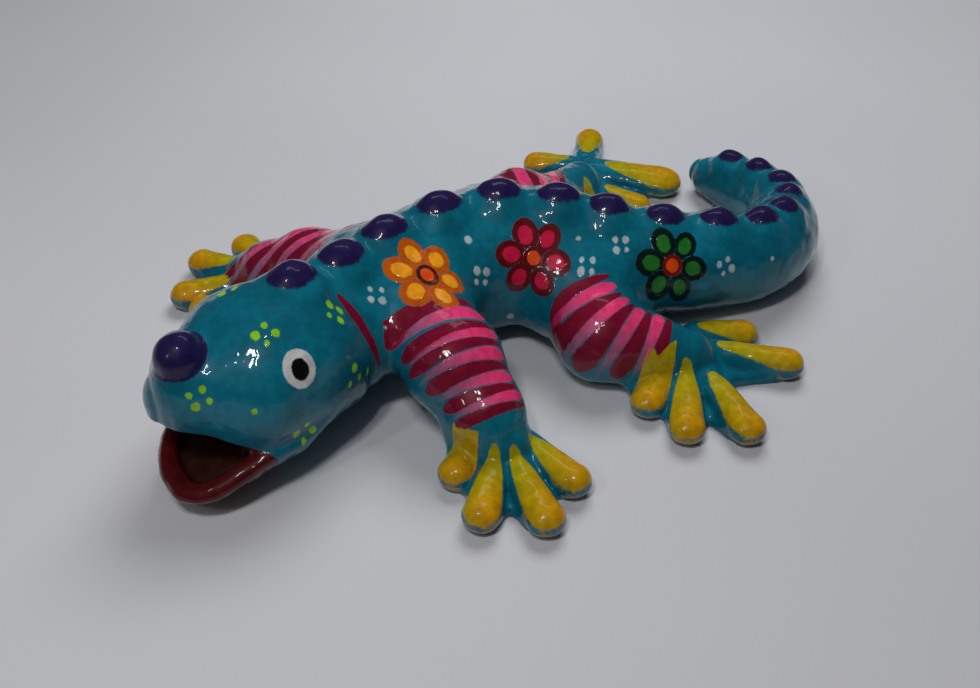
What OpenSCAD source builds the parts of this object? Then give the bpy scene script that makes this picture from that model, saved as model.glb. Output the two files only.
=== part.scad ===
// Hand-built clay lizard with an open mouth, splayed feet and a curled tail.
// It faces -Y, its left side is +X, and it stands on z = 0.
// Every shell, roll and pellet of clay that is made on its own is a node, and
// neighbours meet face to face, as clay pieces luted together with slip do.

/* [Body] */
// Width of the body at its widest place
body_w = 45; // [42:1:48]
// Height of the back above the ground, without the knobs
back_h = 44.5; // [42:0.5:47]
// Thickness of the pressed clay wall
wall = 4.5; // [3.5:0.5:5.5]

/* [Head] */
// Height of the corners of the mouth above the ground
mouth_h = 16; // [15:0.5:17]
// How far the upper lip rises from the corners to the snout
lip_rise = 9; // [7:0.5:10]
// How far the lower lip drops from the corners to the chin
lip_drop = 8; // [6:0.5:9]
// Half width of the lower jaw where it meets the cheeks
jaw_w = 22; // [20:0.5:23]
// Half width of the chin
chin_w = 17; // [15:0.5:19]
// Width of the rolled band of clay along the lower lip
band_w = 5; // [4:0.5:6]
// Diameter of the knob on the snout
nose_d = 15; // [13:0.5:16]

/* [Crest] */
// Length of the first and largest knob of the crest
knob_l = 15; // [13:0.5:16]
// Length of the last and smallest knob of the crest
knob_end_l = 9.5; // [8:0.5:11]

/* [Feet] */
// Radius of a toe at its tip
toe_r = 5.4; // [4.6:0.2:5.6]
// Thickness of the foot pad that the toes lie on
pad_h = 4; // [3:0.5:5]

/* [Hidden] */
TEAL = "#12606f";
PURPLE = "#2c1e48";
YELLOW = "#b8960c";
MAROON = "#7c1236";
DARK_RED = "#5a0c10";

// Stations along the spine: x, y, height of the middle, half width, half height.
// They are laid out for the nominal width and height of the body.
NOMINAL_W = 45;
NOMINAL_H = 44.5;
SPINE = [
    [-13.5, -100.5, 27.5, 5, 4],
    [-13, -97, 29.5, 12, 8.5],
    [-12, -88, 30, 18.5, 12],
    [-12, -75, 28.5, 23.5, 19.5],
    [-13, -62, 28, 23.5, 22.5],
    [-18, -50, 27, 22, 20.5],
    [-24, -38, 26, 20, 18],
    [-30, -20, 24.5, 21.5, 19.3],
    [-33, 2, 23.8, 22.5, 20.7],
    [-30, 21, 23.8, 22.5, 20.7],
    [-21, 38, 22.8, 21, 19.7],
    [-11, 52, 21, 19, 18],
    [-3, 67, 18.7, 17, 16.3],
    [3, 82, 17, 15, 15.5],
    [6, 97, 15, 13.5, 14.5],
    [2, 112, 13.5, 12.5, 13.5],
    [-9, 123, 12.5, 11.5, 12.5],
    [-23, 127, 11, 10.5, 11.5],
    [-38, 126, 9.5, 9, 10],
    [-48.5, 123.5, 8.5, 7, 7.5],
    [-53, 122.5, 8, 4, 5]
];
// Stations where the head, the hollow body and the rolls of the tail end
NECK = 5;
RUMP = 12;
TAIL_CUTS = [RUMP, 14.5, 16.5, 20];
BELLY_SQUARE = 0.4;
STEP = 0.25;
SIDES = 24;

// Stations of the crest knobs, from the nape to the tip of the tail
KNOB_AT = [4.7, 6.2, 7.1, 8, 9, 9.95, 10.85, 11.9, 13, 14.05, 14.9, 15.6, 16.35, 17.25, 18.15];
KNOBS = len(KNOB_AT);
KNOB_SINK = 0.3;

// Places of the snout knob, the corners of the mouth and the chin
NOSE = [-9.5, -89, 42];
CORNER = [-11, -74.3];
CHIN = [-6, -101];
CHIN_R = 9;
THROAT_H = 11;
BAND_SEAT = 0.8;

// Legs from the hip to the ankle: x, y, height and radius
LEG_NAMES = ["front_left", "rear_left", "front_right", "rear_right"];
LEGS = [
    [[-14, -16, 24, 15], [8, -17, 21, 14], [24, -16, 13, 11], [31, -15, 8, 8]],
    [[-2, 33, 16, 14], [13, 32, 13, 13], [21, 43, 10, 10], [28, 53, 8, 8]],
    [[-44, -22, 22, 13], [-62, -30, 16, 12], [-74, -40, 11, 9], [-80, -45, 7.5, 7.5]],
    [[-45, 26, 22, 13], [-53, 43, 19, 12.5], [-61, 62, 10.5, 9.5], [-69, 79, 8, 8]]
];
// Toes of each leg: x, y of the root, x, y of the tip, then how much wider than the others, if it is
TOES = [
    [[26, -20, 32, -30], [35, -19, 49, -32], [36, -15, 59, -18], [34, -8, 51, -4]],
    [[26, 49, 36, 33], [32, 50, 51, 36], [37, 54, 60, 51], [27, 61, 44, 80], [19, 64, 26, 77]],
    [[-70, -55, -73, -64], [-79, -50, -84, -66], [-86, -46, -98, -55], [-86, -38, -99, -39]],
    [[-85, 86, -93, 77], [-84, 93, -97, 104], [-77, 93, -59, 110, 1.4], [-62, 86, -50, 92], [-63, 78, -47, 75]]
];
TOE_ROOT_R = 4.4;
TOE_FLAT = 0.85;
PAD_REACH = 0.7;

// Shift that puts the middle of the figure's box over the origin
MIDDLE = [19.5, -17.6, 0];

// Smooth curve through the stations, so that a station number may be a fraction
function blend(a, b, c, d, t) =
    0.5 * (2 * b + (c - a) * t + (2 * a - 5 * b + 4 * c - d) * t * t
           + (3 * b - a - 3 * c + d) * t * t * t);
function station(s) =
    let (last = len(SPINE) - 1, i = min(floor(s), last - 1),
         p = blend(SPINE[max(i - 1, 0)], SPINE[i], SPINE[i + 1], SPINE[min(i + 2, last)], s - i),
         tall = back_h / NOMINAL_H, wide = body_w / NOMINAL_W)
    [p[0], p[1], p[2] * tall, p[3] * wide, p[4] * tall];

// Direction of the spine at a station, seen from above
function heading(s) =
    let (last = len(SPINE) - 1, a = station(max(s - 0.05, 0)), b = station(min(s + 0.05, last)))
    atan2(b[1] - a[1], b[0] - a[0]);

// How square the underside is at a station: 0 is an ellipse, and the belly is the squarest
function square(s) = BELLY_SQUARE * max(min(s - (NECK - 1), RUMP - s, 1), 0);

// One point of the skin at a station: angle 0 is its side, 90 its top, and
// the underside is flattened where it would go below the ground
function skin(s, angle, grow = 0) =
    let (p = station(s), h = heading(s), power = sin(angle) < 0 ? 1 - square(s) : 1,
         out = sign(cos(angle)) * pow(abs(cos(angle)), power),
         up = sign(sin(angle)) * pow(abs(sin(angle)), power),
         u = (p[3] + grow) * out)
    [p[0] + u * sin(h), p[1] - u * cos(h), max(p[2] + (p[4] + grow) * up, 0)];

// Closed solid through rings that all have the same number of points
module loft(rings) {
    sides = len(rings[0]);
    last = len(rings) - 1;
    faces = concat(
        [[for (j = [sides - 1 : -1 : 0]) j]],
        [for (i = [0 : last - 1], j = [0 : sides - 1])
            let (k = (j + 1) % sides)
            [i * sides + j, i * sides + k, (i + 1) * sides + k, (i + 1) * sides + j]],
        [[for (j = [0 : sides - 1]) last * sides + j]]
    );
    polyhedron([for (r = rings) each r], faces);
}

// The skin between two stations as a filled solid
module form(from, to, grow = 0) {
    loft([for (s = [from : STEP : to + 0.01]) [for (j = [0 : SIDES - 1]) skin(s, 360 * j / SIDES, grow)]]);
}

// One half of the hollow body: side 1 is the back and side -1 the belly
module half_shell(side) {
    first = side > 0 ? 0 : 180;
    turns = [for (j = [0 : SIDES / 2]) first + 360 * j / SIDES];
    back = [for (j = [SIDES / 2 : -1 : 0]) first + 360 * j / SIDES];
    loft([for (s = [NECK : STEP : RUMP + 0.01])
        concat([for (a = turns) skin(s, a)], [for (a = back) skin(s, a, -wall)])]);
}

// Free-form clay surface, made as one mesh about the middle of the figure
module sculpted(colour) {
    color(colour) resize([0, 0, 0]) translate(MIDDLE) children();
}

module above_ground() {
    intersection() {
        children();
        translate([-150, -150, 0]) cube([300, 300, 100]);
    }
}

module back_shell() sculpted(TEAL) half_shell(1);
module belly_shell() sculpted(TEAL) half_shell(-1);

// Everything in front of the corners of the mouth and below the upper lip
module mouth_space() {
    reach = 40;
    rise = reach * lip_rise / (CORNER[1] - CHIN[1]);
    translate([-60, CORNER[1], mouth_h])
        rotate([90, 0, 90])
            linear_extrude(100) polygon([[0, 0], [-reach, rise], [-reach, -mouth_h - 5], [0, -mouth_h - 5]]);
}

module head_shell() sculpted(TEAL) difference() {
    form(0, NECK);
    form(1.4, NECK + 1, -wall);
    mouth_space();
}

// Outer shape of the lower jaw, a blunt scoop, thinner by inset
module scoop(inset) {
    hull() {
        for (side = [-1, 1])
            translate([CHIN[0] + side * (chin_w - CHIN_R), CHIN[1] + CHIN_R, mouth_h - lip_drop])
                scale([1, 1, 0.75])
                    sphere(CHIN_R - inset, $fn = 20);
        translate([CORNER[0], CORNER[1], mouth_h])
            scale([jaw_w - inset, 1, THROAT_H - inset])
                rotate([90, 0, 0])
                    cylinder(h = 1, r = 1, $fn = 32);
    }
}

// Space above the rim of the lower jaw, where the lip band is laid
module above_rim() {
    tilt = atan2(lip_drop, CORNER[1] - CHIN[1]);
    translate([CORNER[0], CORNER[1], mouth_h - BAND_SEAT])
        rotate([tilt, 0, 0])
            translate([-50, -60, 0]) cube([100, 80, 60]);
}

// Centre line of the lower lip, from the left corner round the chin to the right
function lip_point(t) =
    let (side = cos(180 * t), out = sin(180 * t), in = band_w / 2,
         across = sign(side) * pow(abs(side), 0.6), along = pow(out, 0.7),
         w = jaw_w + (chin_w - jaw_w) * along - in,
         x = CORNER[0] + (CHIN[0] - CORNER[0]) * along, y = CORNER[1] + (CHIN[1] + in - CORNER[1]) * along)
    [x + w * across, y, mouth_h - lip_drop * along];
module lip_roll() {
    steps = 16;
    for (i = [0 : steps - 1])
        hull()
            for (t = [i, i + 1])
                translate(lip_point(t / steps)) scale([1, 1, 0.8]) sphere(band_w / 2, $fn = 10);
}

module lower_jaw() sculpted(TEAL) difference() {
    scoop(0);
    scoop(wall - 0.5);
    above_rim();
    lip_roll();
}

// The band ends flat against the cheeks, at the corners of the mouth
module lip_band() sculpted(DARK_RED) intersection() {
    lip_roll();
    mouth_space();
}

module nose_knob() sculpted(PURPLE) difference() {
    translate(NOSE) sphere(nose_d / 2, $fn = 16);
    form(0, NECK);
}

module crest_knob(i) {
    s = KNOB_AT[i];
    p = station(s);
    l = knob_l + (knob_end_l - knob_l) * i / (KNOBS - 1);
    sculpted(PURPLE) difference() {
        translate([p[0], p[1], p[2] + p[4] - KNOB_SINK])
            rotate(heading(s))
                scale([0.5, 0.4, 0.36] * l)
                    sphere(1, $fn = 14);
        form(max(floor(s) - 1, 0), min(ceil(s) + 1, len(SPINE) - 1));
    }
}

module tail(i) sculpted(TEAL) form(TAIL_CUTS[i], TAIL_CUTS[i + 1]);

// Leg from hip to ankle, before it is cut to fit its neighbours
module limb(i) {
    for (k = [0 : len(LEGS[i]) - 2])
        hull()
            for (p = [LEGS[i][k], LEGS[i][k + 1]])
                translate([p[0], p[1], p[2]]) sphere(p[3], $fn = 18);
}

// Flat pad of clay that spreads from the ankle part of the way under the toes
module pad(i) {
    ankle = LEGS[i][len(LEGS[i]) - 1];
    for (t = TOES[i])
        hull() {
            translate([ankle[0], ankle[1], 0]) cylinder(h = pad_h, r1 = ankle[3], r2 = ankle[3] - 1, $fn = 24);
            translate([t[0] + (t[2] - t[0]) * PAD_REACH, t[1] + (t[3] - t[1]) * PAD_REACH, 0])
                cylinder(h = pad_h, r1 = toe_r, r2 = toe_r - 1, $fn = 16);
        }
}

module toe_roll(t) {
    wide = len(t) > 4 ? t[4] : 1;
    hull() {
        translate([t[0], t[1], TOE_ROOT_R + 1]) scale([wide, wide, 1]) sphere(TOE_ROOT_R, $fn = 12);
        translate([t[2], t[3], toe_r * TOE_FLAT - 0.3]) scale([wide, wide, TOE_FLAT]) sphere(toe_r, $fn = 12);
    }
}

module leg(i) sculpted(MAROON) difference() {
    above_ground() limb(i);
    form(NECK - 1, RUMP + 2);
    pad(i);
}

module foot(i) sculpted(TEAL) pad(i);

// Each toe is pressed against the ones made before it
module toe(i, k) sculpted(YELLOW) difference() {
    above_ground() toe_roll(TOES[i][k]);
    pad(i);
    limb(i);
    if (k > 0)
        for (before = [0 : k - 1])
            toe_roll(TOES[i][before]);
}

back_shell();
belly_shell();
head_shell();
lower_jaw();
lip_band();
nose_knob();
for (i = [0 : KNOBS - 1])
    crest_knob(i);
tail(0);  // tail_root
tail(1);  // tail_bend
tail(2);  // tail_tip
for (i = [0 : len(LEGS) - 1]) {
    leg(i);
    foot(i);
    for (k = [0 : len(TOES[i]) - 1])
        toe(i, k);
}
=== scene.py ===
"""Painted clay lizard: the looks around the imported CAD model.

Every CAD node gets a smooth clay piece of its own. All pieces are cut out of
one distance field, the blend of all the rolled and pressed clay shapes, so
that the skin runs on across the luted joints as it does on the real figure.
Lengths in this script are millimetres in the frame of the CAD model.
"""
import math

import bpy
import numpy as np
import openvdb
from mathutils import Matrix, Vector


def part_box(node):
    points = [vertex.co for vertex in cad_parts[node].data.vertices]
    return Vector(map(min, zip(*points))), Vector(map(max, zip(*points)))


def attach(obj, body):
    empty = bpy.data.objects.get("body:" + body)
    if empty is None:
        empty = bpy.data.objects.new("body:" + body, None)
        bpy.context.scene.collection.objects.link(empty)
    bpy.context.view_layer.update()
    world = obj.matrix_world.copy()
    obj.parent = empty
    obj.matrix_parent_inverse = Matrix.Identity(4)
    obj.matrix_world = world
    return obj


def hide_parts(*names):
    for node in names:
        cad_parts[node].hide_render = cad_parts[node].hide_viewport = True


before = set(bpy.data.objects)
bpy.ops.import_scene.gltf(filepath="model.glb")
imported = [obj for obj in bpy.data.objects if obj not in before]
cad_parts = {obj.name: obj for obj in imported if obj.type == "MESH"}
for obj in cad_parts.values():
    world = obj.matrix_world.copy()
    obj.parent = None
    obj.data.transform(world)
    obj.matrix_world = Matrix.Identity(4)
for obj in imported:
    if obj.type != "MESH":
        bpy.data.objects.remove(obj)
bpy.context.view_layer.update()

MM = 0.001
FAR = 60.0

# ---------------------------------------------------------------- clay shapes

SHIFT = np.array([19.5, -17.6])

# Stations along the spine: x, y, height of the middle, half width, half height
SPINE = np.array([
    [-13.5, -97, 27, 6, 6],
    [-13, -94.5, 29, 9.5, 10],
    [-12, -88, 30.5, 13.5, 12],
    [-12, -75, 28.5, 24.5, 19.5],
    [-13, -62, 28, 23.5, 22.5],
    [-18, -50, 27, 22, 20.5],
    [-24, -38, 26, 20, 18],
    [-30, -20, 24.5, 21.5, 19.3],
    [-33, 2, 23.8, 22.5, 20.7],
    [-30, 21, 23.8, 22.5, 20.7],
    [-21, 38, 22.8, 21, 19.7],
    [-11, 52, 21, 19, 18],
    [-3, 67, 18.7, 17, 16.3],
    [3, 82, 17, 15, 15.5],
    [6, 97, 15, 13.5, 14.5],
    [2, 112, 13.5, 12.5, 13.5],
    [-9, 123, 12.5, 11.5, 12.5],
    [-23, 127, 11, 10.5, 11.5],
    [-38, 126, 9.5, 9, 10],
    [-48.5, 123.5, 8.5, 7, 7.5],
    [-53, 122.5, 8, 4, 5],
], float)
SPINE[:, :2] += SHIFT
NECK, RUMP, BEND, HOOK = 5, 12, 14.5, 16.5
END_CAP = 3.0
LIP_FLARE = 0.45
BELLY_SQUARE, BACK_RIDGE = 0.4, 0.16
WALL = 4.5

KNOB_AT = [4.7, 6.2, 7.1, 8, 9, 9.95, 10.85, 11.9, 13, 14.05, 14.9, 15.6, 16.35, 17.25, 18.15]
KNOB_SINK = 0.3
KNOB_L, KNOB_END_L = 15.0, 9.5
# Half sizes of a crest knob, and of the mound under it, as shares of the knob's length
KNOB_WIDE, KNOB_LONG, KNOB_TALL = 0.43, 0.52, 0.38
MOUND_WIDE, MOUND_LONG, MOUND_TALL = 0.60, 0.62, 0.42
MOUND_DROP, MOUND_FILLET = 2.4, 4.5
NOSE, NOSE_R = np.array([10.0, -106.6, 42.0]), 7.2
NOSE_MOUND, NOSE_MOUND_DROP, NOSE_FILLET = (8.5, 8.5, 8.0), 7, 7.0
KNOB_REACH = 14

# The crease behind the cheeks, and the stations between which the snout's lower half flares
CREASE_AT, CREASE_DEEP, CREASE_WIDE = NECK + 0.15, 1.1, 2.2
FLARE_START, FLARE_END = 3.4, 2.2

CORNER_X, CORNER_Y, MOUTH_H = 8.5, -91.9, 16.0
CHIN_X, CHIN_Y = 16.5, -119.0
LIP_RISE, LIP_DROP = 9.0, 8.0
JAW_W, CHIN_W = 22.5, 18.0
JAW_BLUNT = 3.4
THROAT_H, CHIN_H, THROAT_BACK = 11.0, 6.0, 17.0
SCOOP_SIDE, SCOOP_BACK, SCOOP_SIZE = 2.6, 2.4, 11.0
JAW_WALL, MOUTH_REACH = 4.4, 26
LIP_R, LIP_END_R = 2.8, 1.6

LEGS = {
    "front_left": [[-14, -16, 24, 15], [8, -17, 21, 14], [24, -16, 13, 11], [31, -15, 8, 8]],
    "rear_left": [[-2, 33, 16, 14], [13, 32, 13, 13], [21, 43, 10, 10], [28, 53, 8, 8]],
    "front_right": [[-44, -22, 22, 13], [-62, -30, 16, 12], [-74, -40, 11, 9], [-80, -45, 7.5, 7.5]],
    "rear_right": [[-45, 26, 22, 13], [-53, 43, 19, 12.5], [-61, 62, 10.5, 9.5], [-69, 79, 8, 8]],
}
# Toes from root to tip, in plan, and how wide they are
TOES = {
    "front_left": [[26, -20, 32, -30], [35, -19, 49, -32], [36, -15, 59, -18], [34, -8, 51, -4]],
    "rear_left": [[26, 49, 36, 33], [32, 50, 51, 36], [37, 54, 60, 51], [27, 61, 44, 80], [19, 64, 26, 77]],
    "front_right": [[-70, -55, -73, -64], [-79, -50, -84, -66], [-86, -46, -98, -55], [-86, -38, -99, -39]],
    "rear_right": [[-85, 86, -93, 77], [-84, 93, -97, 104], [-77, 93, -59, 110, 1.4], [-62, 86, -50, 92],
                   [-63, 78, -47, 75]],
}
for name in LEGS:
    LEGS[name] = np.array(LEGS[name], float) + [*SHIFT, 0, 0]
    TOES[name] = np.array([(t + [1])[:5] for t in TOES[name]], float) + [*SHIFT, *SHIFT, 0]
TOE_R, TOE_ROOT_R, TOE_FLAT = 5.4, 4.4, 0.86
PAD_H, PAD_REACH, PAD_FILLET, PAD_EDGE = 4.0, 0.82, 5.0, 3.0
LEG_FILLET, LIMB_REACH = 4.0, 22
# Width of the fillet where a shape joins the clay before it, by the end of the shape's name
FILLETS = (("leg", 10.0), ("lower_jaw", 6.0), ("foot", 4.0))
SMALL_FILLET = 1.3
GROUND_EDGE = 0.6


def smooth_min(a, b, k):
    """Union of two distance fields with a fillet about k wide."""
    h = np.maximum(k - np.abs(a - b), 0) / k
    return np.minimum(a, b) - h * h * k / 4


def smooth_max(a, b, k):
    return -smooth_min(-a, -b, k)


def blend_stations(s):
    """The spine's values at station numbers s, on a smooth curve."""
    last = len(SPINE) - 1
    i = np.minimum(np.floor(s).astype(int), last - 1)
    t = (s - i)[:, None]
    a, b = SPINE[np.maximum(i - 1, 0)], SPINE[i]
    c, d = SPINE[i + 1], SPINE[np.minimum(i + 2, last)]
    square, cube = 2 * a - 5 * b + 4 * c - d, 3 * b - a - 3 * c + d
    return 0.5 * (2 * b + (c - a) * t + square * t ** 2 + cube * t ** 3)


SAMPLE_S = np.linspace(0, len(SPINE) - 1, 901)
SAMPLE = blend_stations(SAMPLE_S)
SAMPLE_L = np.r_[0, np.cumsum(np.hypot(*np.diff(SAMPLE[:, :2], axis=0).T))]
TANGENT = np.gradient(SAMPLE[:, :2], axis=0)
TANGENT /= np.linalg.norm(TANGENT, axis=1)[:, None]
LEFT = np.stack([TANGENT[:, 1], -TANGENT[:, 0]], 1)
BATCH = 20000


def along(s):
    """Distance along the spine at a station number."""
    return np.interp(s, SAMPLE_S, SAMPLE_L)


def spine_place(x, y):
    """For points in plan: distance along the spine, offset to its left and distance past its ends."""
    shape = np.shape(x)
    q = np.stack([np.ravel(x), np.ravel(y)], 1)
    near = np.empty(len(q), int)
    squares = (SAMPLE[:, :2] ** 2).sum(1)
    for k in range(0, len(q), BATCH):
        part = q[k:k + BATCH]
        near[k:k + BATCH] = np.argmin(squares - 2 * part @ SAMPLE[:, :2].T, axis=1)
    off = q - SAMPLE[near, :2]
    l = SAMPLE_L[near] + (off * TANGENT[near]).sum(1)
    past = np.maximum(-l, 0) + np.maximum(l - SAMPLE_L[-1], 0)
    left = (off * LEFT[near]).sum(1)
    return [v.reshape(shape) for v in (np.clip(l, 0, SAMPLE_L[-1]), left, past)]


def ellipsoid(dx, dy, dz, rx, ry, rz, power=2.0):
    """Distance to an ellipsoid, squarer between its height and its plan for a power over 2."""
    flat = np.sqrt((dx / rx) ** 2 + (dy / ry) ** 2)
    size = (flat ** power + np.abs(dz / rz) ** power) ** (1 / power)
    size = np.maximum(size, 1e-3)
    return np.sqrt(dx ** 2 + dy ** 2 + dz ** 2) * (1 - 1 / size)


def roll(x, y, z, a, b, ra, rb, flat=1.0):
    """A rolled cone of clay with round ends, from a to b, flattened to flat times its height."""
    ax, ay, az = a
    bx, by, bz = np.subtract(b, a)
    bz = bz / flat
    px, py, pz = x - ax, y - ay, (z - az) / flat
    h = np.clip((px * bx + py * by + pz * bz) / (bx * bx + by * by + bz * bz), 0, 1)
    gap = np.sqrt((px - h * bx) ** 2 + (py - h * by) ** 2 + (pz - h * bz) ** 2)
    return gap - (ra + (rb - ra) * h)


def lumps(x, y, z):
    """Slight unevenness of hand-pressed clay."""
    return (0.16 * np.sin(x * 0.31 + 1.3 * np.sin(y * 0.17)) * np.sin(y * 0.27 + 1.1 * np.sin(z * 0.21))
            + 0.08 * np.sin(x * 0.63 + 2.0) * np.sin(y * 0.71 + z * 0.55))


def knob_place(i):
    """Place in plan, height, direction along the spine and length of a crest knob."""
    p = blend_stations(np.array([KNOB_AT[i]]))[0]
    k = np.argmin(np.abs(SAMPLE_S - KNOB_AT[i]))
    length = KNOB_L + (KNOB_END_L - KNOB_L) * i / (len(KNOB_AT) - 1)
    return p[:2], p[2] + p[4] - KNOB_SINK, TANGENT[k], length


def knob(x, y, z, i, wide=KNOB_WIDE, long=KNOB_LONG, tall=KNOB_TALL, drop=0.0):
    (cx, cy), cz, (tx, ty), size = knob_place(i)
    dx, dy = x - cx, y - cy
    return ellipsoid(dx * tx + dy * ty, dx * ty - dy * tx, z - cz + drop,
                     long * size, wide * size, tall * size)


def mouth_gap(y, z):
    """Negative in the open mouth, below the upper lip and in front of its corners."""
    slope = LIP_RISE / (CORNER_Y - CHIN_Y)
    below = (z - MOUTH_H - slope * (CORNER_Y - y)) / math.hypot(1, slope)
    return smooth_max(below, y - CORNER_Y, 3.0)


def jaw_measures(y):
    """Share of the way from mouth corner to chin, then the jaw's middle, half width, rim and depth."""
    t = (CORNER_Y - y) / (CORNER_Y - CHIN_Y)
    u = np.clip(t, 0, 1)
    return (t, CORNER_X + (CHIN_X - CORNER_X) * u, JAW_W + (CHIN_W - JAW_W) * u,
            MOUTH_H - LIP_DROP * u, THROAT_H + (CHIN_H - THROAT_H) * u)


def scoop(x, y, z, inset):
    """The lower jaw as a blunt filled scoop that ends inside the throat, made smaller by inset."""
    t, cx, wide, rim, deep = jaw_measures(y)
    length = CORNER_Y - CHIN_Y
    ahead = (np.maximum(t, 0) * length / (length - inset)) ** JAW_BLUNT
    behind = (np.maximum(-t, 0) * length / (THROAT_BACK - inset)) ** SCOOP_BACK
    across = (np.abs(x - cx) / (wide - inset)) ** SCOOP_SIDE
    down = (np.abs(z - rim) / (deep - inset * 0.75)) ** SCOOP_BACK
    size = across + ahead + behind + down
    return (np.maximum(size, 1e-6) ** (1 / SCOOP_SIDE) - 1) * SCOOP_SIZE


def lip_path():
    """Points along the lower lip from corner to corner, with the radius of the rolled band at each."""
    t = np.sin(np.linspace(0, 1, 25) * math.pi / 2)
    reach = (1 - t ** JAW_BLUNT) ** (1 / SCOOP_SIDE)
    _, cx, wide, rim, _ = jaw_measures(CORNER_Y - t * (CORNER_Y - CHIN_Y))
    y = CORNER_Y - t * (CORNER_Y - CHIN_Y - LIP_R)
    radius = LIP_END_R + (LIP_R - LIP_END_R) * np.minimum(t / 0.3, 1)
    left = np.stack([cx + (wide - radius) * reach, y, rim, radius], 1)
    right = np.stack([cx - (wide - radius) * reach, y, rim, radius], 1)
    return np.vstack([left, right[-2::-1]])


LIP = lip_path()


def lip_roll(x, y, z):
    """The rolled band on the rim of the lower jaw."""
    d = np.full(np.broadcast(x, y, z).shape, FAR)
    for a, b in zip(LIP[:-1], LIP[1:]):
        d = np.minimum(d, roll(x, y, z, a[:3], b[:3], a[3], b[3], 0.8))
    return d


class Window:
    """A block of grid points, and the clay fields on it."""

    def __init__(self, low, high, step):
        self.low, self.step = np.array(low, float), step
        count = np.ceil((np.array(high) - self.low) / step).astype(int) + 1
        axes = [self.low[k] + step * np.arange(count[k]) for k in range(3)]
        self.x, self.y, self.z = axes[0][:, None, None], axes[1][None, :, None], axes[2][None, None, :]
        self.high = self.low + step * (count - 1)
        self.shape = tuple(count)

    def touches(self, points, margin):
        """Whether the points' box in plan, grown by the margin, meets the block."""
        p = np.asarray(points, float)
        low, high = p.min(0) - margin, p.max(0) + margin
        return bool(np.all(low[:2] < self.high[:2]) and np.all(high[:2] > self.low[:2]))

    def build(self):
        """The fields of all clay shapes near the block, their parts, hollow and common skin."""
        x, y, z = self.x, self.y, self.z
        l, left, past = spine_place(x[:, :, 0] + 0 * y[:, :, 0], y[:, :, 0] + 0 * x[:, :, 0])
        mid, a, b = [np.interp(l, SAMPLE_L, SAMPLE[:, k])[:, :, None] for k in (2, 3, 4)]
        self.l, self.up = l[:, :, None], z - mid
        flare = along(FLARE_START)
        snout = np.clip((flare - self.l) / (flare - along(FLARE_END)), 0, 1)
        cheek = 1 - LIP_FLARE * snout * snout * (3 - 2 * snout) * (self.up < 0)
        trunk = np.clip(np.minimum(self.l - along(NECK - 1), along(RUMP) - self.l) / 15, 0, 1)
        power = 2 / (1 + trunk * np.where(self.up < 0, -BELLY_SQUARE, BACK_RIDGE))
        body = ellipsoid(left[:, :, None], past[:, :, None] * a / END_CAP, self.up * cheek,
                         a, a, b, power)
        body = body + CREASE_DEEP * np.exp(-((self.l - along(CREASE_AT)) / CREASE_WIDE) ** 2)
        self.hollow = body + WALL
        knobs = [i for i in range(len(KNOB_AT)) if self.touches([knob_place(i)[0]], KNOB_REACH)]
        has_nose = self.touches([NOSE[:2]], KNOB_REACH)
        nx, ny, nz = x - NOSE[0], y - NOSE[1], z - NOSE[2]
        for i in knobs:
            mound = knob(x, y, z, i, MOUND_WIDE, MOUND_LONG, MOUND_TALL, MOUND_DROP)
            body = smooth_min(body, mound, MOUND_FILLET)
        if has_nose:
            body = smooth_min(body, ellipsoid(nx, ny, nz + NOSE_MOUND_DROP, *NOSE_MOUND), NOSE_FILLET)
        parts = {}
        if self.touches([[CORNER_X, CORNER_Y], [CHIN_X, CHIN_Y]], MOUTH_REACH):
            rim = jaw_measures(y)[3]
            body = smooth_max(body, -mouth_gap(y, z), 1.2)
            bowl = scoop(x, y, z, JAW_WALL)
            jaw = smooth_max(scoop(x, y, z, 0), z - rim, 0.8)
            parts["lower_jaw"] = smooth_max(np.maximum(jaw, y - CORNER_Y - THROAT_BACK), -bowl, 0.8)
            self.hollow = smooth_min(self.hollow, bowl, 1.0)
            parts["lip_band"] = np.maximum(lip_roll(x, y, z), z - rim - 2.0)
        parts = {"body": body, **parts}
        for i in knobs:
            parts[f"crest_knob_{i + 1}"] = knob(x, y, z, i)
        if has_nose:
            parts["nose_knob"] = ellipsoid(nx, ny, nz, NOSE_R, NOSE_R, NOSE_R)
        for name in LEGS:
            if self.touches(np.vstack([LEGS[name][:, :2], TOES[name][:, 2:4]]), LIMB_REACH):
                parts.update(self.limb(name))
        self.parts = parts
        skin = None
        for key, d in parts.items():
            k = next((width for ending, width in FILLETS if key.endswith(ending)), SMALL_FILLET)
            skin = d if skin is None else smooth_min(skin, d, k)
        skin = skin + lumps(x, y, z)
        self.skin = smooth_max(skin, -z + 0 * skin, GROUND_EDGE)
        return self

    def limb(self, name):
        """The leg, the flat pad under the toes and the toes."""
        x, y, z = self.x, self.y, self.z
        leg, ankle = None, LEGS[name][-1]
        for p, q in zip(LEGS[name][:-1], LEGS[name][1:]):
            piece = roll(x, y, z, p[:3], q[:3], p[3], q[3])
            leg = piece if leg is None else smooth_min(leg, piece, LEG_FILLET)
        pad = None
        for rx, ry, tx, ty, _ in TOES[name]:
            end = (rx + (tx - rx) * PAD_REACH, ry + (ty - ry) * PAD_REACH, 0)
            fan = roll(x, y, 0 * z, (ankle[0], ankle[1], 0), end, ankle[3] + 0.5, TOE_R + 0.2)
            pad = fan if pad is None else smooth_min(pad, fan, PAD_FILLET)
        out = {name + "_foot": smooth_max(pad, z - PAD_H, PAD_EDGE), name + "_leg": leg}
        for k, (rx, ry, tx, ty, wide) in enumerate(TOES[name]):
            root, tip = (rx, ry, TOE_ROOT_R + 0.8), (tx, ty, TOE_R * 0.85 - 0.3)
            out[f"{name}_toe_{k + 1}"] = roll(x, y, z, root, tip, TOE_ROOT_R * wide, TOE_R * wide,
                                              TOE_FLAT / wide)
        return out

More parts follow.
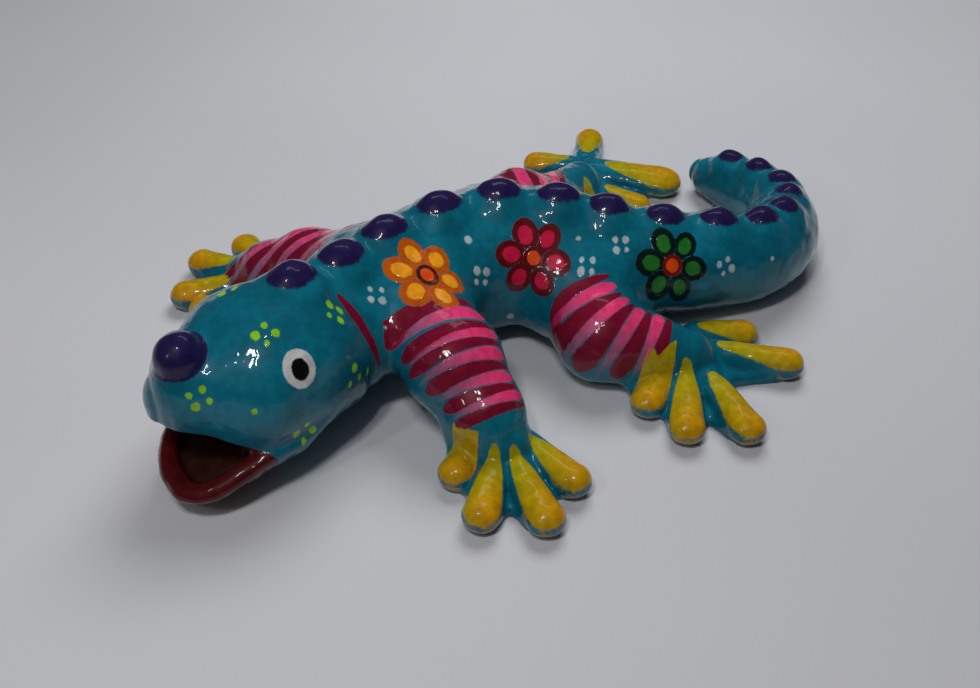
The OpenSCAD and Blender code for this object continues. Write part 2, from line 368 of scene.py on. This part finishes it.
    def cell(self, key):
        """Negative inside this shape and where it is the nearest one, but not in the shapes before it."""
        names = list(self.parts)
        own, rest = self.parts[key], [self.parts[n] for n in names if n != key]
        cell = own
        if rest:
            cell = np.minimum(own, own - np.minimum.reduce(rest))
        before = [self.parts[n] for n in names[:names.index(key)]]
        if before:
            cell = np.maximum(cell, -np.minimum.reduce(before))
        return cell

    def cut(self, cell):
        """The skin inside a cell; past its border the skin dips under the neighbour's."""
        return np.maximum(self.skin + 0.12 * np.maximum(cell, 0), cell - 1.5)

    def mesh(self, field):
        """Closed surface of a field as points and quads, and the points' places on the grid."""
        limit = 3 * self.step
        grid = openvdb.FloatGrid(limit)
        grid.copyFromArray(np.clip(field, -limit, limit).astype(np.float32))
        points, quads = grid.convertToQuads(isovalue=0.0)
        index = points.astype(float)
        return self.low + index * self.step, quads, index

    def sample(self, field, index):
        """Values of a field at fractional grid places."""
        i = np.clip(np.floor(index).astype(int), 0, np.array(self.shape) - 2)
        f = index - i
        total = 0
        for corner in np.ndindex(2, 2, 2):
            w = np.abs(1 - np.array(corner) - f)
            at = i + corner
            total = total + w[:, 0] * w[:, 1] * w[:, 2] * field[at[:, 0], at[:, 1], at[:, 2]]
        return total


def make_piece(name, node, window, field):
    """The mesh object of a field, standing for a CAD node, with its points and their grid places."""
    points, quads, index = window.mesh(field)
    mesh = bpy.data.meshes.new(name)
    mesh.vertices.add(len(points))
    mesh.vertices.foreach_set("co", (points * MM).ravel())
    mesh.loops.add(quads.size)
    mesh.loops.foreach_set("vertex_index", quads.astype(np.int32).ravel())
    mesh.polygons.add(len(quads))
    mesh.polygons.foreach_set("loop_start", np.arange(0, quads.size, 4, dtype=np.int32))
    mesh.update(calc_edges=True)
    mesh.validate()
    mesh.polygons.foreach_set("use_smooth", np.ones(len(mesh.polygons), bool))
    piece = bpy.data.objects.new(name, mesh)
    bpy.context.scene.collection.objects.link(piece)
    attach(piece, "root")
    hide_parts(node)
    return piece, points, index


def box_mm(*nodes, margin=4.0):
    """The box round CAD nodes, with a margin."""
    low = np.min([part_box(n)[0] for n in nodes], axis=0) / MM - margin
    high = np.max([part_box(n)[1] for n in nodes], axis=0) / MM + margin
    return low, high


# ---------------------------------------------------------------- painted marks

LAYERS = 4
UNPAINTED = 4.0


def linear(r, g, b):
    """A colour given as 0 to 255 values, in the linear scale of the shader."""
    c = np.array([r, g, b]) / 255
    return np.where(c > 0.04045, ((c + 0.055) / 1.055) ** 2.4, c / 12.92)


TEAL, TEAL_LIGHT = linear(4, 96, 116), linear(8, 114, 136)
PURPLE = linear(33, 24, 72)
MAROON, PINK = linear(122, 12, 44), linear(236, 58, 118)
YELLOW, AMBER = linear(170, 156, 6), linear(208, 142, 6)
DARK_RED, MOUTH_BROWN = linear(80, 10, 14), linear(52, 24, 16)
WHITE, DOT_WHITE, BLACK = linear(205, 205, 205), linear(176, 190, 198), linear(8, 8, 10)
LIME = linear(140, 205, 30)
ORANGE_RED = linear(232, 78, 14)
FLOWER_PAINTS = {
    "orange": (linear(190, 84, 4), linear(244, 158, 24), linear(70, 22, 14)),
    "crimson": (linear(96, 12, 20), linear(206, 22, 66), linear(96, 12, 20)),
    "green": (linear(4, 26, 22), linear(36, 116, 40), linear(128, 14, 16)),
}


# Distances along the leg of the maroon strokes, with one more before and after them, and the angles
# round the leg where the strokes begin on the head side and end on the tail side
STROKES = {
    "front_left": ([0, 10.5, 20, 25, 31, 37, 42, 47], 75, -50),
    "rear_left": ([-3, 4, 11.5, 17.5, 24, 31, 38], 105, -25),
    "front_right": ([-12, -2, 8, 18, 28, 38, 48], 100, -60),
    "rear_right": ([-12, 0, 11, 22, 33, 44, 55], 100, -60),
}
STROKE_SLANT = {"left": 0.03, "right": -0.2}
SHOULDER_BEND = 4.2
MAROON_WIDE, PINK_WIDE = 0.36, 0.31
# How far from the leg's middle, in leg radii, the strokes still run
STROKE_LIMIT = {"front": 1.3, "rear": 1.8}
LEG_REACH, TOE_REACH = 24, 30
AXIS_SMOOTHINGS = 1200

# Yellow tears on the toes: share of the toe's length and most of it, half widths at the ends, heights
TEAR_SHARE, TEAR_LONG = 0.85, 20.0
TEAR_ROOT, TEAR_TIP = 1.7, 5.2
TEAR_LOW, TEAR_HIGH = 2.1, 17.0

# Flowers: for petals and dabs the place from the middle and the half sizes, then the two radii
FLOWER_TALL, FLOWER_REACH = 1.08, 17
PETAL_AT, PETAL_LONG, PETAL_WIDE = 7.0, 4.5, 3.8
DAB_AT, DAB_LONG, DAB_WIDE = 6.8, 2.6, 2.1
DISC_R, DOT_R = 3.2, 2.0

EYE_STATION, EYE_ANGLE = 3.74, 59
EYE_WHITE, PUPIL = (4.6, 5.4), (2.45, 3.1)
COLLAR_AT, COLLAR_TOP, COLLAR_SWEEP, COLLAR_WIDE = NECK + 0.25, 64, 79, 1.3
# Flowers on the left side, 1, and on the right, -1: station, angle up from the side, paint and turn
FLOWERS = {
    1: ((7.07, 39, "orange", 80), (9.53, 29, "crimson", 50), (11.93, 32, "green", 50)),
    -1: ((5.9, 25, "orange", 80), (8.2, 22, "crimson", 50), (11.6, 22, "green", 50)),
}
# Groups of dabs: station, angle up from the side, and the number of dabs
WHITE_DABS = ((6.14, 44, 4), (5.83, 16, 1), (8.15, 53, 1), (8.16, 20, 4), (8.9, -25, 1), (10.37, 50, 1),
              (10.56, 27, 4), (11.07, 50, 4), (12.91, 28, 4), (13.84, 30, 1))
LIME_DABS = ((3.5, 62, 4), (2.0, 24, 4), (2.79, 13, 1), (4.81, 51, 4), (4.5, 0, 3), (5.0, -10, 1),
             (3.64, -23, 4))
# Dabs, the half size of one, how far apart they are, and their colour
DABS = ((WHITE_DABS, 0.95, 2.3, DOT_WHITE), (LIME_DABS, 1.0, 2.6, LIME))


class Ink:
    """The paint on a set of skin points: for each layer the distance to the edge of the nearest mark,
    negative inside it, and the mark's colour and cover."""

    def __init__(self, points):
        self.p = points
        self.edge = np.full((LAYERS, len(points)), UNPAINTED)
        self.tint = np.zeros((LAYERS, len(points), 4))

    def lay(self, layer, edge, colour, cover=1.0, where=slice(None), on_top=False):
        """Adds a mark; edge, colour and cover may have one value for each point of where."""
        index = np.arange(len(self.p))[where]
        near = edge < self.edge[layer][index]
        if on_top:
            near |= edge < 0.2
        index = index[near]
        self.edge[layer][index] = edge[near]
        self.tint[layer][index, :3] = colour[near] if np.ndim(colour) > 1 else colour
        self.tint[layer][index, 3] = cover[near] if np.ndim(cover) > 0 else cover

    def store(self, mesh):
        """Keeps the layers as attributes of the mesh, for the glaze to read."""
        for k in range(LAYERS):
            mesh.attributes.new(f"edge_{k}", "FLOAT", "POINT").data.foreach_set(
                "value", np.clip(self.edge[k], -UNPAINTED, UNPAINTED).astype(np.float32))
            mesh.attributes.new(f"tint_{k}", "FLOAT_COLOR", "POINT").data.foreach_set(
                "color", self.tint[k].astype(np.float32).ravel())


def oval(u, v, ru, rv):
    """Distance to the edge of an oval in its own plane."""
    size = np.sqrt((u / ru) ** 2 + (v / rv) ** 2)
    return (size - 1) * min(ru, rv)


class Spot:
    """A place on the trunk's skin, given by its station and its angle from the left side up,
    with directions towards the tail, up the skin and out of it."""

    def __init__(self, station, angle):
        x, y, mid, a, b = blend_stations(np.array([station], float))[0]
        k = np.argmin(np.abs(SAMPLE_S - station))
        turn = math.radians(angle)
        left = np.array([*LEFT[k], 0])
        self.tail = np.array([*TANGENT[k], 0])
        self.centre = np.array([x, y, mid]) + left * a * math.cos(turn) + np.array([0, 0, b * math.sin(turn)])
        out = left * math.cos(turn) / a + np.array([0, 0, math.sin(turn) / b])
        self.out = out / np.linalg.norm(out)
        self.up = np.cross(self.out, self.tail)
        if self.up[2] < 0:
            self.up = -self.up

    def near(self, points, reach):
        """Indices of the points within reach, and their offsets towards the tail and up the skin."""
        d = points - self.centre
        index = np.nonzero((d ** 2).sum(1) < reach ** 2)[0]
        d = d[index]
        return index, d @ self.tail, d @ self.up


def dots(ink, station, angle, spread, size, colour, turn, count):
    """A group of small dabs around a spot, or a single dab."""
    index, u, v = Spot(station, angle).near(ink.p, spread + 5)
    for k in range(count):
        way = math.radians(turn + 360 / count * k)
        du, dv = (0, 0) if count == 1 else (spread * math.cos(way), spread * math.sin(way))
        fat = size * (1 + 0.25 * math.sin(2.3 * k + 1.7 * station))
        ink.lay(0, oval(u - du, v - dv, fat, fat * 1.15), colour, where=index)


def flower(ink, station, angle, paints, turn):
    """Six petals, each a dark dab with a lighter one on it, a centre disc and a bright dot."""
    petal, dab, disc = paints
    index, u, v = Spot(station, angle).near(ink.p, FLOWER_REACH)
    v = v / FLOWER_TALL
    for k in range(6):
        way = math.radians(turn + 60 * k)
        far = u * math.cos(way) + v * math.sin(way)
        across = v * math.cos(way) - u * math.sin(way)
        fat = 1 + 0.06 * math.sin(5 * k + 3 * station)
        ink.lay(0, oval(far - PETAL_AT, across, PETAL_LONG * fat, PETAL_WIDE * fat), petal,
                where=index, on_top=True)
        ink.lay(1, oval(far - DAB_AT, across, DAB_LONG * fat, DAB_WIDE * fat), dab,
                where=index, on_top=True)
    ink.lay(2, np.hypot(u, v) - DISC_R, disc, where=index)
    ink.lay(3, np.hypot(u, v) - DOT_R, ORANGE_RED, where=index)


def eye(ink, side):
    """A white oval with a black pupil."""
    index, u, v = Spot(EYE_STATION, 90 - side * EYE_ANGLE).near(ink.p, 11)
    ink.lay(0, oval(u, v, *EYE_WHITE), WHITE, where=index, on_top=True)
    ink.lay(1, oval(u - 0.1, v + 0.2, *PUPIL), BLACK, where=index)


def collar(ink, side):
    """A tapered stroke behind the cheek."""
    l, left, _ = spine_place(ink.p[:, 0], ink.p[:, 1])
    mid, a, b = [np.interp(l, SAMPLE_L, SAMPLE[:, k]) for k in (2, 3, 4)]
    angle = np.degrees(np.arctan2((ink.p[:, 2] - mid) / b, side * left / a))
    inside = np.clip((COLLAR_TOP - angle) / COLLAR_SWEEP, -0.2, 1.2)
    taper = np.sqrt(np.clip(1 - np.abs(2 * inside - 1) ** 2.5, 0, 1)) * (1.1 - 0.5 * inside)
    width = COLLAR_WIDE * taper
    bow = along(COLLAR_AT) + 2.0 * (inside - 0.5) ** 2
    elsewhere = (inside < 0) | (inside > 1) | (np.abs(left) > a + 5)
    edge = np.where(elsewhere, 2.0, np.abs(l - bow) - width)
    ink.lay(0, edge, MAROON)


def leg_axis(name):
    """The leg's middle line and radius, smoothed, at 121 places."""
    p = LEGS[name]
    t = np.arange(len(p), dtype=float)
    fine = np.linspace(0, len(p) - 1, 121)
    path = np.stack([np.interp(fine, t, p[:, k]) for k in range(4)], 1)
    for _ in range(AXIS_SMOOTHINGS):
        path[1:-1] = (path[:-2] + 2 * path[1:-1] + path[2:]) / 4
    return path


LEG_AXES = {name: leg_axis(name) for name in LEGS}


def leg_place(name, points):
    """Distance along the leg, angle round it from its top to the head side, distance from its middle."""
    path = LEG_AXES[name]
    length = np.r_[0, np.cumsum(np.linalg.norm(np.diff(path[:, :3], axis=0), axis=1))]
    near = np.argmin(((points[:, None] - path[None, :, :3]) ** 2).sum(2), axis=1)
    way = np.gradient(path[:, :3], axis=0)
    way /= np.linalg.norm(way, axis=1)[:, None]
    side = np.cross(way, [0, 0, 1.0])
    side /= np.linalg.norm(side, axis=1)[:, None]
    if name.endswith("right"):
        side = -side
    up = np.cross(side, way) * (-1 if name.endswith("right") else 1)
    off = points - path[near, :3]
    l = length[near] + (off * way[near]).sum(1)
    angle = np.degrees(np.arctan2((off * side[near]).sum(1), (off * up[near]).sum(1)))
    return l, angle, np.linalg.norm(off, axis=1) / path[near, 3]


def stripes(ink, name, places, head_end, tail_end):
    """Maroon strokes at these distances along the leg, narrowing towards the tail side, and pink
    ones between them that fade towards the head side; both run between two angles round the leg."""
    apart = ((ink.p[:, None, :2] - LEGS[name][None, :, :2]) ** 2).sum(2).min(1)
    index = np.nonzero(apart < LEG_REACH ** 2)[0]
    if len(index) == 0:
        return
    end, side = name.split("_")
    l, angle, out = leg_place(name, ink.p[index])
    l = l + STROKE_SLANT[side] * angle
    bend = SHOULDER_BEND * np.maximum((angle - 25) / 50, 0) ** 2
    run = np.clip((head_end - angle) / (head_end - tail_end), -0.2, 1.2)
    outside = (run < 0) | (run > 0.98)
    stray = (out - STROKE_LIMIT[end]) * 8
    streak = 0.5 + 0.5 * np.sin(l * 7 + 3 * np.sin(angle / 25))
    for k in range(1, len(places) - 1):
        thick = (places[k + 1] - places[k - 1]) / 2
        width = MAROON_WIDE * thick * np.clip(1 - run, 0, 1) ** 0.4 * np.clip(run * 7, 0, 1) ** 0.5
        middle = places[k] + (bend if k == 1 else 0)
        edge = np.maximum(np.abs(l - middle) - width, stray)
        ink.lay(0, np.where(outside, 2.0, edge), MAROON, where=index)
    for before, after in zip(places[1:-2], places[2:-1]):
        width = PINK_WIDE * (after - before) * np.clip(run, 0, 1) ** 0.6
        width = width * np.clip((1 - run) * 7, 0, 1) ** 0.5
        cover = np.clip(0.2 + 1.3 * run - 0.4 * streak * (1 - run), 0, 1)
        edge = np.maximum(np.abs(l - (before + after) / 2) - width, stray)
        ink.lay(1, np.where(outside, 2.0, edge), PINK, cover, where=index)


def toe_paint(ink, name):
    """A yellow tear along the top of each toe, turning amber towards its tip."""
    for rx, ry, tx, ty, wide in TOES[name]:
        p = ink.p
        index = np.nonzero((p[:, 0] - tx) ** 2 + (p[:, 1] - ty) ** 2 < TOE_REACH ** 2)[0]
        if len(index) == 0:
            continue
        q = p[index]
        dx, dy = tx - rx, ty - ry
        length = math.hypot(dx, dy)
        far = ((q[:, 0] - rx) * dx + (q[:, 1] - ry) * dy) / length
        across = ((q[:, 1] - ry) * dx - (q[:, 0] - rx) * dy) / length
        start, end = length - min(TEAR_SHARE * length, TEAR_LONG), length + 0.1
        h = np.clip((far - start) / (end - start), 0, 1)
        half = TEAR_ROOT + (TEAR_TIP * wide - TEAR_ROOT) * np.minimum(h * 1.15, 1) ** 0.7
        edge = np.hypot(far - start - h * (end - start), across) - half
        edge = np.maximum(edge, np.maximum(TEAR_LOW - q[:, 2], q[:, 2] - TEAR_HIGH))
        blend = np.clip(0.8 * h + 0.05 * across - 0.15, 0, 1)[:, None]
        ink.lay(0, edge, YELLOW * (1 - blend) + AMBER * blend, where=index)


def paint_mouth(ink, depth):
    """Dark red lips and palate, and a brown gullet; depth is how far a point is under the outer skin."""
    x, y, z = ink.p.T
    rim = jaw_measures(y)[3]
    inner = scoop(x, y, z, 3.6)
    ink.lay(0, np.maximum(lip_roll(x, y, z) - 0.35, y - CORNER_Y - 0.5), DARK_RED)
    ink.lay(0, np.maximum(mouth_gap(y, z) - 0.7, y - CORNER_Y - 1.5), DARK_RED)
    ink.lay(1, np.maximum(1.5 - depth, y - CORNER_Y - 20), MOUTH_BROWN)
    ink.lay(1, np.maximum(inner, z - rim + 1.0), MOUTH_BROWN)


def paint(points, window, index):
    """All the painted marks on a piece's points."""
    ink = Ink(points)
    x, y, z = points.T
    if "lower_jaw" in window.parts:
        paint_mouth(ink, -window.sample(window.skin, index))
    for i in range(len(KNOB_AT)):
        ink.lay(0, knob(x, y, z, i) - 0.5, PURPLE)
    ink.lay(0, np.linalg.norm(points - NOSE, axis=1) - NOSE_R - 0.9, PURPLE)
    for side in (1, -1):
        eye(ink, side)
        collar(ink, side)
    for name in LEGS:
        places, head_end, tail_end = STROKES[name]
        stripes(ink, name, places, head_end, tail_end)
        toe_paint(ink, name)
    for side in (1, -1):
        for station, angle, paints, turn in FLOWERS[side]:
            flower(ink, station, 90 - side * (90 - angle), FLOWER_PAINTS[paints], turn)
        for marks, size, spread, colour in DABS:
            for station, angle, count in marks:
                dots(ink, station, 90 - side * (90 - angle), spread, size, colour,
                     40 + 9 * station, count)
    return ink


# ---------------------------------------------------------------- materials

def ramp(nodes, links, factor, low, high, from_min=0.3, from_max=0.7):
    """One of two colours, or a mix of both, by a noise value."""
    mix = nodes.new("ShaderNodeMix")
    mix.data_type = "RGBA"
    spread = nodes.new("ShaderNodeMapRange")
    spread.interpolation_type = "SMOOTHSTEP"
    spread.inputs["From Min"].default_value = from_min
    spread.inputs["From Max"].default_value = from_max
    links.new(factor, spread.inputs["Value"])
    links.new(spread.outputs["Result"], mix.inputs["Factor"])
    mix.inputs["A"].default_value = (*low, 1)
    mix.inputs["B"].default_value = (*high, 1)
    return mix.outputs["Result"]


def noise(nodes, links, coords, scale, detail=2.0, distortion=0.0):
    n = nodes.new("ShaderNodeTexNoise")
    n.inputs["Scale"].default_value = scale
    n.inputs["Detail"].default_value = detail
    n.inputs["Distortion"].default_value = distortion
    links.new(coords, n.inputs["Vector"])
    return n.outputs["Fac"]


def maths(nodes, links, operation, a, b=None):
    m = nodes.new("ShaderNodeMath")
    m.operation = operation
    for k, v in enumerate((a, b)):
        if v is None:
            continue
        if isinstance(v, (int, float)):
            m.inputs[k].default_value = v
        else:
            links.new(v, m.inputs[k])
    return m.outputs[0]


def times(nodes, links, a, b):
    """The product of two colours."""
    product = nodes.new("ShaderNodeMix")
    product.data_type, product.blend_type = "RGBA", "MULTIPLY"
    product.inputs["Factor"].default_value = 1.0
    links.new(a, product.inputs["A"])
    links.new(b, product.inputs["B"])
    return product.outputs["Result"]


def named(nodes, attribute):
    """The node that reads an attribute of the mesh."""
    node = nodes.new("ShaderNodeAttribute")
    node.attribute_name = attribute
    return node


def relief(nodes, links, height, distance, strength):
    """A surface direction bent by a height."""
    bump = nodes.new("ShaderNodeBump")
    bump.inputs["Distance"].default_value = distance
    bump.inputs["Strength"].default_value = strength
    links.new(height, bump.inputs["Height"])
    return bump.outputs["Normal"]


# Scales of the noises: mottled colour, grain, ragged edges of the paint, and two of the lacquer's ripple
MOTTLE, GRAIN, RAGGED, RIPPLE, FINE_RIPPLE = 55, 420, 900, 150, 480
SOFT_EDGE, RAGGED_BY = 0.22, 0.55


def glaze(name):
    """Painted clay under clear lacquer: mottled teal, with the mesh's paint layers over it."""
    mat = bpy.data.materials.new(name)
    mat.use_nodes = True
    nodes, links = mat.node_tree.nodes, mat.node_tree.links
    shader = nodes["Principled BSDF"]
    coords = nodes.new("ShaderNodeTexCoord").outputs["Object"]
    broad = noise(nodes, links, coords, MOTTLE, 3, 0.6)
    fine = noise(nodes, links, coords, GRAIN, 3)
    colour = times(nodes, links, ramp(nodes, links, broad, TEAL, TEAL_LIGHT, 0.35, 0.68),
                   ramp(nodes, links, fine, (0.86, 0.88, 0.88), (1.1, 1.08, 1.08)))
    grain = ramp(nodes, links, fine, (0.84, 0.84, 0.84), (1.12, 1.12, 1.12))
    ragged = maths(nodes, links, "SUBTRACT", noise(nodes, links, coords, RAGGED, 1), 0.5)
    ragged = maths(nodes, links, "MULTIPLY", ragged, RAGGED_BY)
    height = None
    for k in range(LAYERS):
        edge, tint = named(nodes, f"edge_{k}"), named(nodes, f"tint_{k}")
        cover = nodes.new("ShaderNodeMapRange")
        cover.interpolation_type = "SMOOTHSTEP"
        cover.inputs["From Min"].default_value = SOFT_EDGE
        cover.inputs["From Max"].default_value = -SOFT_EDGE
        links.new(maths(nodes, links, "ADD", edge.outputs["Fac"], ragged), cover.inputs["Value"])
        solid = cover.outputs["Result"]
        height = solid if height is None else maths(nodes, links, "ADD", height, solid)
        amount = maths(nodes, links, "MULTIPLY", solid, tint.outputs["Alpha"])
        over = nodes.new("ShaderNodeMix")
        over.data_type = "RGBA"
        links.new(amount, over.inputs["Factor"])
        links.new(colour, over.inputs["A"])
        links.new(times(nodes, links, tint.outputs["Color"], grain), over.inputs["B"])
        colour = over.outputs["Result"]
    links.new(colour, shader.inputs["Base Color"])
    links.new(maths(nodes, links, "ADD", maths(nodes, links, "MULTIPLY", fine, 0.15), 0.32),
              shader.inputs["Roughness"])
    rough = maths(nodes, links, "ADD", height, maths(nodes, links, "MULTIPLY", fine, 0.4))
    links.new(relief(nodes, links, rough, 0.12 * MM, 0.5), shader.inputs["Normal"])
    ripple = maths(nodes, links, "MULTIPLY", noise(nodes, links, coords, FINE_RIPPLE, 1), 0.07)
    ripple = maths(nodes, links, "ADD", noise(nodes, links, coords, RIPPLE, 1, 0.4), ripple)
    pool = maths(nodes, links, "ADD", ripple, maths(nodes, links, "MULTIPLY", height, 0.12))
    links.new(relief(nodes, links, pool, 0.8 * MM, 1.0), shader.inputs["Coat Normal"])
    shader.inputs["Specular IOR Level"].default_value = 0.12
    shader.inputs["Coat Weight"].default_value = 1.0
    shader.inputs["Coat Roughness"].default_value = 0.035
    shader.inputs["Coat IOR"].default_value = 1.31
    return mat


MATERIALS = {slot: glaze(slot) for slot in
             ("teal_paint", "purple_paint", "yellow_paint", "striped_paint", "dark_red_paint")}


# ---------------------------------------------------------------- pieces

BODY_STEP = 0.6
FINE_STEP = 0.45


def between(window, start, end):
    """Negative between two stations of the spine; None leaves an end open."""
    cell = np.full(window.l.shape, -FAR)
    if start is not None:
        cell = np.maximum(cell, along(start) - window.l)
    if end is not None:
        cell = np.maximum(cell, window.l - along(end))
    return cell


def add(name, node, slot, window, field):
    """A finished piece: mesh, paint and material."""
    piece, points, index = make_piece(name, node, window, field)
    paint(points, window, index).store(piece.data)
    piece.data.materials.append(MATERIALS[slot])


def trunk_piece(name, node, window, start, end, half=None, hollow=False):
    """The part of the trunk between two stations, or its upper or lower half, solid or hollow."""
    cell = np.maximum(window.cell("body"), between(window, start, end))
    if half == "upper":
        cell = np.maximum(cell, -window.up)
    elif half == "lower":
        cell = np.maximum(cell, window.up)
    field = window.cut(cell)
    if hollow:
        field = np.maximum(field, -window.hollow)
    add(name, node, "teal_paint", window, field)


def make_head():
    low, high = box_mm("head_shell", "lower_jaw", "lip_band", "nose_knob", "crest_knob_1")
    window = Window(low, high, BODY_STEP).build()
    trunk_piece("head", "head_shell", window, None, NECK, hollow=True)
    add("jaw", "lower_jaw", "teal_paint", window, window.cut(window.cell("lower_jaw")))
    add("lower_lip", "lip_band", "dark_red_paint", window, window.cut(window.cell("lip_band")))
    add("nose_tip", "nose_knob", "purple_paint", window, window.cut(window.cell("nose_knob")))


def make_trunk():
    low, high = box_mm("back_shell", "belly_shell")
    window = Window(low, high, BODY_STEP).build()
    trunk_piece("back", "back_shell", window, NECK, RUMP, "upper", hollow=True)
    trunk_piece("belly", "belly_shell", window, NECK, RUMP, "lower", hollow=True)


def make_tail():
    rolls = (("tail_root", RUMP, BEND), ("tail_bend", BEND, HOOK), ("tail_tip", HOOK, None))
    for name, start, end in rolls:
        low, high = box_mm(name)
        window = Window(low, high, BODY_STEP).build()
        trunk_piece(name + "_clay", name, window, start, end)


def make_crest():
    for i in range(len(KNOB_AT)):
        node = f"crest_knob_{i + 1}"
        low, high = box_mm(node, margin=5)
        window = Window(low, high, FINE_STEP).build()
        add(f"crest_bead_{i + 1}", node, "purple_paint", window, window.cut(window.cell(node)))


def make_limb(name):
    toes = [f"{name}_toe_{k + 1}" for k in range(len(TOES[name]))]
    low, high = box_mm(name + "_leg", name + "_foot", *toes)
    window = Window(low, high, FINE_STEP).build()
    pieces = [(name + "_limb", name + "_leg", "striped_paint"),
              (name + "_paw", name + "_foot", "teal_paint")]
    pieces += [(toe.replace("toe", "finger"), toe, "yellow_paint") for toe in toes]
    for title, node, slot in pieces:
        add(title, node, slot, window, window.cut(window.cell(node)))


make_head()
make_trunk()
make_tail()
make_crest()
for name in LEGS:
    make_limb(name)


# ---------------------------------------------------------------- floor, lights, camera

def make_floor():
    bpy.ops.mesh.primitive_plane_add(size=6.0)
    floor = bpy.context.object
    floor.name = "floor"
    mat = bpy.data.materials.new("pale_floor")
    mat.use_nodes = True
    nodes, links = mat.node_tree.nodes, mat.node_tree.links
    coords = nodes.new("ShaderNodeTexCoord").outputs["Object"]
    shade = ramp(nodes, links, noise(nodes, links, coords, 3, 2), (0.60, 0.60, 0.63), (0.66, 0.66, 0.69))
    links.new(shade, nodes["Principled BSDF"].inputs["Base Color"])
    nodes["Principled BSDF"].inputs["Roughness"].default_value = 0.6
    nodes["Principled BSDF"].inputs["Specular IOR Level"].default_value = 0.2
    floor.data.materials.append(mat)


AIM = Vector((*SHIFT, 15)) * MM


def heading(azimuth, elevation):
    """Direction from the figure, azimuth 0 towards -Y and 90 towards +X, in degrees."""
    a, e = math.radians(azimuth), math.radians(elevation)
    return Vector((math.sin(a) * math.cos(e), -math.cos(a) * math.cos(e), math.sin(e)))


def lamp(name, azimuth, elevation, distance, size, power, shiny, colour=(1, 1, 1)):
    """A rectangular lamp aimed at the figure; only a shiny one shows in the lacquer."""
    data = bpy.data.lights.new(name, "AREA")
    data.shape = "RECTANGLE"
    data.size, data.size_y = size
    data.energy = power
    data.color = colour
    light = bpy.data.objects.new(name, data)
    bpy.context.scene.collection.objects.link(light)
    light.location = AIM + heading(azimuth, elevation) * distance
    light.rotation_euler = (AIM - light.location).to_track_quat("-Z", "Y").to_euler()
    light.visible_glossy = shiny


make_floor()
lamp("top_softbox", 222, 55, 0.6, (0.36, 0.3), 1.75, False, (0.98, 0.99, 1))
lamp("front_fill", 40, 45, 1.2, (0.6, 0.6), 0.38, False, (0.97, 0.99, 1))
lamp("key_panel", 32, 62, 0.7, (0.05, 0.09), 0.85, True)
lamp("key_panel_2", 46, 66, 0.7, (0.03, 0.09), 0.6, True)
lamp("low_panel", 12, 42, 0.7, (0.03, 0.12), 0.3, True)
lamp("back_panel", 235, 50, 0.9, (0.6, 0.12), 0.4, True)

world = bpy.data.worlds.new("studio")
bpy.context.scene.world = world
world.use_nodes = True
nodes, links = world.node_tree.nodes, world.node_tree.links
path = nodes.new("ShaderNodeLightPath")
tone = nodes.new("ShaderNodeMix")
tone.data_type = "RGBA"
tone.inputs["A"].default_value = (0.035, 0.037, 0.04, 1)
tone.inputs["B"].default_value = (0.45, 0.45, 0.48, 1)
links.new(path.outputs["Is Camera Ray"], tone.inputs["Factor"])
links.new(tone.outputs["Result"], nodes["Background"].inputs["Color"])

# The photograph's view: azimuth, elevation, distance in metres, and the lens as a share of the sensor
VIEW_AZIMUTH, VIEW_ELEVATION, VIEW_DISTANCE = 59, 40, 0.36
SENSOR, LENS = 36, 1200 / 980

camera = bpy.data.objects.new("camera", bpy.data.cameras.new("camera"))
bpy.context.scene.collection.objects.link(camera)
camera.location = AIM + heading(VIEW_AZIMUTH, VIEW_ELEVATION) * VIEW_DISTANCE
camera.rotation_euler = (AIM - camera.location).to_track_quat("-Z", "Y").to_euler()
camera.data.sensor_width = SENSOR
camera.data.lens = LENS * SENSOR
camera.data.clip_start = 0.01
bpy.context.scene.camera = camera
bpy.context.scene.view_settings.view_transform = "Standard"
